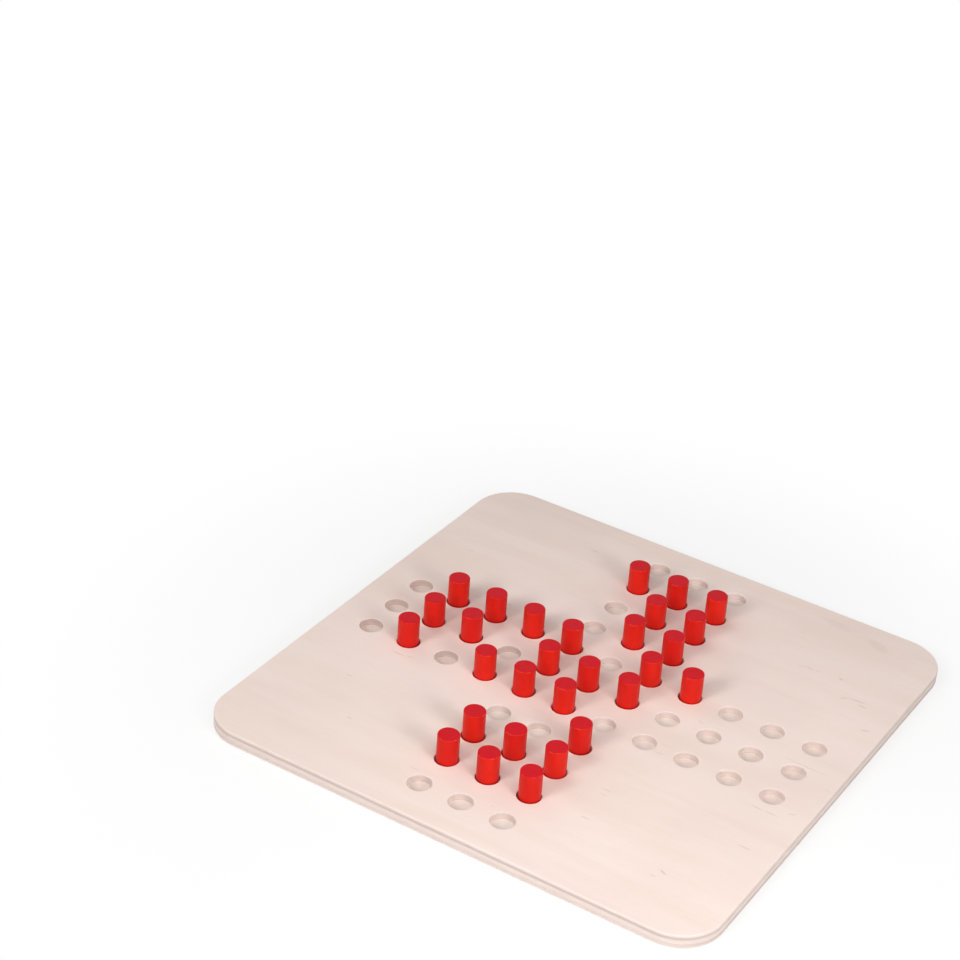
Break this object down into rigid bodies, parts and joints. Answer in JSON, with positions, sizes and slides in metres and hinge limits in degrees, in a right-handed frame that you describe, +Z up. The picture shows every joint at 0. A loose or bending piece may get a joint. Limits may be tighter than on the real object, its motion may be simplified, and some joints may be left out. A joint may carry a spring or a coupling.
{
  "type": "peg solitaire board",
  "caption": "Square wooden peg solitaire board with rounded corners, a cross of round blind holes and loose red cylinder pegs that lift out.",
  "frame": {"origin": "middle of the board's underside, on the table", "axes": "+X along the board's face grain, +Y across it towards the far side in the picture, +Z up out of the holes"},
  "size_m": [0.3, 0.3, 0.024],
  "materials": {
    "board_wood": "sanded, unvarnished",
    "peg_paint": "satin red paint on turned wood"
  },
  "bodies": {
    "board": {"base_sheet": "board_wood", "top_sheet": "board_wood"},
    "body_r02_c05": {"peg_r02_c05": "peg_paint"},
    "body_r02_c06": {"peg_r02_c06": "peg_paint"},
    "body_r02_c07": {"peg_r02_c07": "peg_paint"},
    "body_r03_c06": {"peg_r03_c06": "peg_paint"},
    "body_r03_c07": {"peg_r03_c07": "peg_paint"},
    "body_r04_c06": {"peg_r04_c06": "peg_paint"},
    "body_r04_c07": {"peg_r04_c07": "peg_paint"},
    "body_r05_c02": {"peg_r05_c02": "peg_paint"},
    "body_r05_c03": {"peg_r05_c03": "peg_paint"},
    "body_r05_c04": {"peg_r05_c04": "peg_paint"},
    "body_r05_c05": {"peg_r05_c05": "peg_paint"},
    "body_r05_c07": {"peg_r05_c07": "peg_paint"},
    "body_r05_c08": {"peg_r05_c08": "peg_paint"},
    "body_r06_c02": {"peg_r06_c02": "peg_paint"},
    "body_r06_c03": {"peg_r06_c03": "peg_paint"},
    "body_r06_c05": {"peg_r06_c05": "peg_paint"},
    "body_r06_c06": {"peg_r06_c06": "peg_paint"},
    "body_r06_c07": {"peg_r06_c07": "peg_paint"},
    "body_r07_c02": {"peg_r07_c02": "peg_paint"},
    "body_r07_c04": {"peg_r07_c04": "peg_paint"},
    "body_r07_c05": {"peg_r07_c05": "peg_paint"},
    "body_r07_c06": {"peg_r07_c06": "peg_paint"},
    "body_r08_c07": {"peg_r08_c07": "peg_paint"},
    "body_r09_c05": {"peg_r09_c05": "peg_paint"},
    "body_r09_c06": {"peg_r09_c06": "peg_paint"},
    "body_r09_c07": {"peg_r09_c07": "peg_paint"},
    "body_r10_c05": {"peg_r10_c05": "peg_paint"},
    "body_r10_c06": {"peg_r10_c06": "peg_paint"},
    "body_r10_c07": {"peg_r10_c07": "peg_paint"}
  },
  "joints": [
    {"name": "lift_r02_c05", "type": "slide", "parent": "board", "child": "body_r02_c05", "axis": [0, 0, 1], "range_m": [0, 0.025]},
    {"name": "lift_r02_c06", "type": "slide", "parent": "board", "child": "body_r02_c06", "axis": [0, 0, 1], "range_m": [0, 0.025]},
    {"name": "lift_r02_c07", "type": "slide", "parent": "board", "child": "body_r02_c07", "axis": [0, 0, 1], "range_m": [0, 0.025]},
    {"name": "lift_r03_c06", "type": "slide", "parent": "board", "child": "body_r03_c06", "axis": [0, 0, 1], "range_m": [0, 0.025]},
    {"name": "lift_r03_c07", "type": "slide", "parent": "board", "child": "body_r03_c07", "axis": [0, 0, 1], "range_m": [0, 0.025]},
    {"name": "lift_r04_c06", "type": "slide", "parent": "board", "child": "body_r04_c06", "axis": [0, 0, 1], "range_m": [0, 0.025]},
    {"name": "lift_r04_c07", "type": "slide", "parent": "board", "child": "body_r04_c07", "axis": [0, 0, 1], "range_m": [0, 0.025]},
    {"name": "lift_r05_c02", "type": "slide", "parent": "board", "child": "body_r05_c02", "axis": [0, 0, 1], "range_m": [0, 0.025]},
    {"name": "lift_r05_c03", "type": "slide", "parent": "board", "child": "body_r05_c03", "axis": [0, 0, 1], "range_m": [0, 0.025]},
    {"name": "lift_r05_c04", "type": "slide", "parent": "board", "child": "body_r05_c04", "axis": [0, 0, 1], "range_m": [0, 0.025]},
    {"name": "lift_r05_c05", "type": "slide", "parent": "board", "child": "body_r05_c05", "axis": [0, 0, 1], "range_m": [0, 0.025]},
    {"name": "lift_r05_c07", "type": "slide", "parent": "board", "child": "body_r05_c07", "axis": [0, 0, 1], "range_m": [0, 0.025]},
    {"name": "lift_r05_c08", "type": "slide", "parent": "board", "child": "body_r05_c08", "axis": [0, 0, 1], "range_m": [0, 0.025]},
    {"name": "lift_r06_c02", "type": "slide", "parent": "board", "child": "body_r06_c02", "axis": [0, 0, 1], "range_m": [0, 0.025]},
    {"name": "lift_r06_c03", "type": "slide", "parent": "board", "child": "body_r06_c03", "axis": [0, 0, 1], "range_m": [0, 0.025]},
    {"name": "lift_r06_c05", "type": "slide", "parent": "board", "child": "body_r06_c05", "axis": [0, 0, 1], "range_m": [0, 0.025]},
    {"name": "lift_r06_c06", "type": "slide", "parent": "board", "child": "body_r06_c06", "axis": [0, 0, 1], "range_m": [0, 0.025]},
    {"name": "lift_r06_c07", "type": "slide", "parent": "board", "child": "body_r06_c07", "axis": [0, 0, 1], "range_m": [0, 0.025]},
    {"name": "lift_r07_c02", "type": "slide", "parent": "board", "child": "body_r07_c02", "axis": [0, 0, 1], "range_m": [0, 0.025]},
    {"name": "lift_r07_c04", "type": "slide", "parent": "board", "child": "body_r07_c04", "axis": [0, 0, 1], "range_m": [0, 0.025]},
    {"name": "lift_r07_c05", "type": "slide", "parent": "board", "child": "body_r07_c05", "axis": [0, 0, 1], "range_m": [0, 0.025]},
    {"name": "lift_r07_c06", "type": "slide", "parent": "board", "child": "body_r07_c06", "axis": [0, 0, 1], "range_m": [0, 0.025]},
    {"name": "lift_r08_c07", "type": "slide", "parent": "board", "child": "body_r08_c07", "axis": [0, 0, 1], "range_m": [0, 0.025]},
    {"name": "lift_r09_c05", "type": "slide", "parent": "board", "child": "body_r09_c05", "axis": [0, 0, 1], "range_m": [0, 0.025]},
    {"name": "lift_r09_c06", "type": "slide", "parent": "board", "child": "body_r09_c06", "axis": [0, 0, 1], "range_m": [0, 0.025]},
    {"name": "lift_r09_c07", "type": "slide", "parent": "board", "child": "body_r09_c07", "axis": [0, 0, 1], "range_m": [0, 0.025]},
    {"name": "lift_r10_c05", "type": "slide", "parent": "board", "child": "body_r10_c05", "axis": [0, 0, 1], "range_m": [0, 0.025]},
    {"name": "lift_r10_c06", "type": "slide", "parent": "board", "child": "body_r10_c06", "axis": [0, 0, 1], "range_m": [0, 0.025]},
    {"name": "lift_r10_c07", "type": "slide", "parent": "board", "child": "body_r10_c07", "axis": [0, 0, 1], "range_m": [0, 0.025]}
  ]
}
